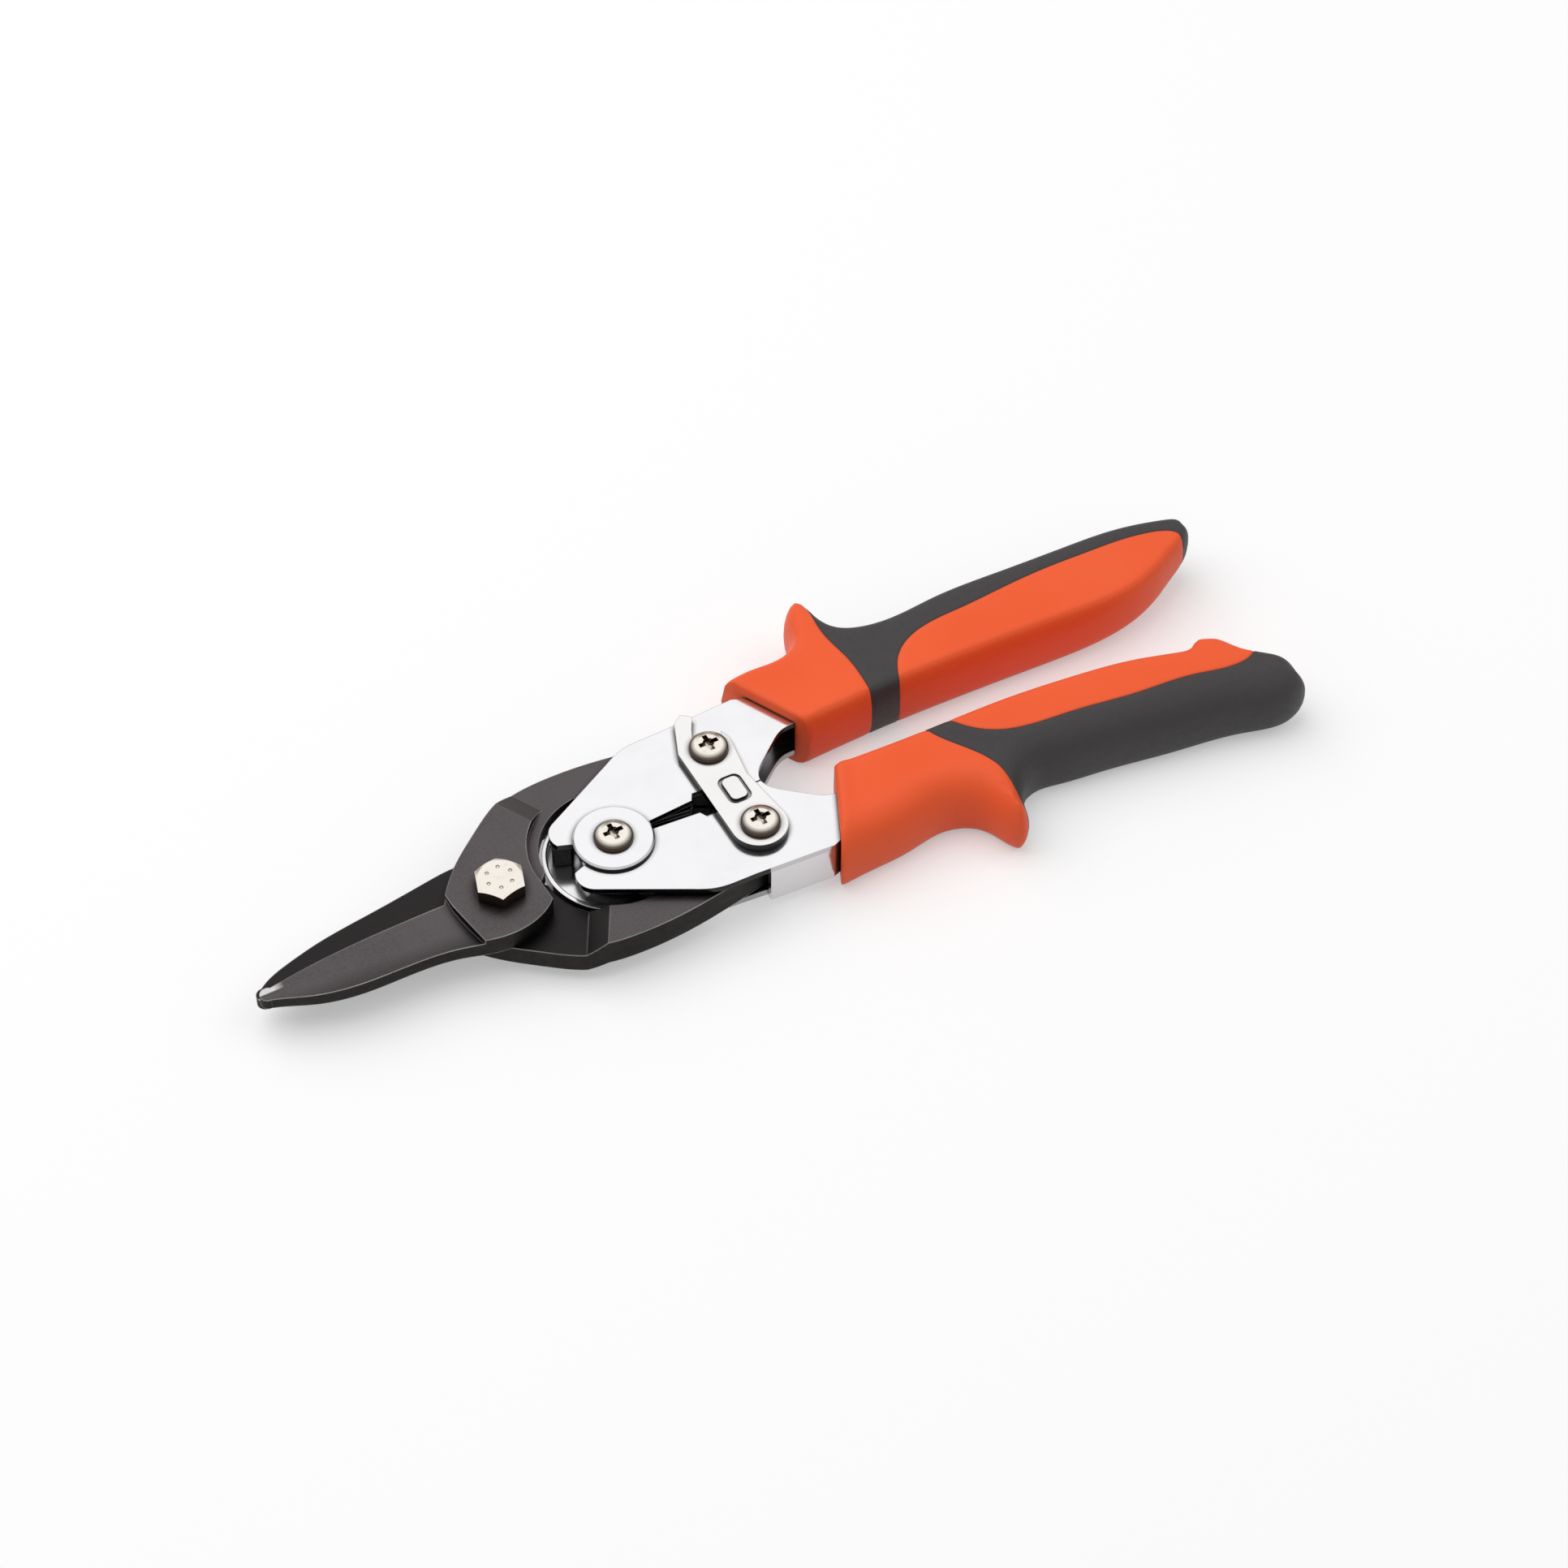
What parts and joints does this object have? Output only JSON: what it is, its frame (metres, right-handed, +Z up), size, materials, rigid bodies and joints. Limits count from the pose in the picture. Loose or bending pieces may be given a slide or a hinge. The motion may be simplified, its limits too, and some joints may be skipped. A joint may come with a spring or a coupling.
{
  "type": "aviation snips",
  "caption": "Compound-action sheet metal snips with straight half-lap blades, thumb latch and two-colour moulded grips, closed and latched.",
  "frame": {"origin": "under the middle of the tool on its resting plane, which is the underside of the blade nut and of both grips", "axes": "+X along the tool from the jaws to the grips, +Y towards the handle whose tail screw the latch catches, +Z up out of the face with the latch"},
  "size_m": [0.25, 0.0826, 0.018],
  "materials": {
    "blade_steel": "black oxide forged steel, satin",
    "zinc": "bright nickel-plated hardware",
    "frame_chrome": "bright satin chrome on pressed steel",
    "latch_steel": "satin chrome plate",
    "spring_steel": "oiled black spring steel",
    "orange_core": "orange moulded nylon",
    "black_overmould": "black soft-touch elastomer"
  },
  "bodies": {
    "handle_b": {"handle_frame_b": "frame_chrome", "grip_core_b": "orange_core", "grip_overmould_b": "black_overmould", "centre_washer": "frame_chrome", "centre_washer_lower": "frame_chrome", "centre_screw": "zinc", "centre_barrel": "zinc", "spring_cup": "frame_chrome", "return_spring": "spring_steel", "tail_screw_b": "zinc", "tail_sleeve_b": "zinc", "tail_bush_b": "zinc", "tail_washers_b": "zinc"},
    "handle_a": {"handle_frame_a": "frame_chrome", "stop_pad": "black_overmould", "grip_core_a": "orange_core", "grip_overmould_a": "black_overmould", "tail_screw_a": "zinc", "tail_sleeve_a": "zinc", "tail_bush_a": "zinc", "tail_washers_a": "zinc"},
    "lower_blade": {"blade_lower": "blade_steel", "pivot_bolt": "zinc", "pivot_nut": "zinc"},
    "upper_blade": {"blade_upper": "blade_steel"},
    "latch_plate": {"latch": "latch_steel"}
  },
  "joints": [
    {"name": "handle_open", "type": "hinge", "parent": "handle_b", "child": "handle_a", "pos_m": [-0.0385, -0.00275, 0], "axis": [0, 0, 1], "range_deg": [0, 40], "deforming": ["return_spring"]},
    {"name": "upper_blade_pivot", "type": "hinge", "parent": "handle_a", "child": "upper_blade", "pos_m": [-0.0081, 0.00965, 0], "axis": [0, 0, 1], "range_deg": [-10.38, 0]},
    {"name": "lower_blade_pivot", "type": "hinge", "parent": "handle_b", "child": "lower_blade", "pos_m": [-0.0081, -0.01515, 0], "axis": [0, 0, 1], "range_deg": [0, 10.38]},
    {"name": "latch_pivot", "type": "hinge", "parent": "handle_b", "child": "latch_plate", "pos_m": [-0.0081, -0.01515, 0], "axis": [0, 0, 1], "range_deg": [0, 36.2]}
  ],
  "couplings": [
    {"joint": "upper_blade_pivot", "follows": "handle_open", "ratio": -0.2545},
    {"joint": "lower_blade_pivot", "follows": "handle_open", "ratio": 0.2545},
    {"joint": "latch_pivot", "follows": "handle_open", "ratio": 0.9}
  ]
}
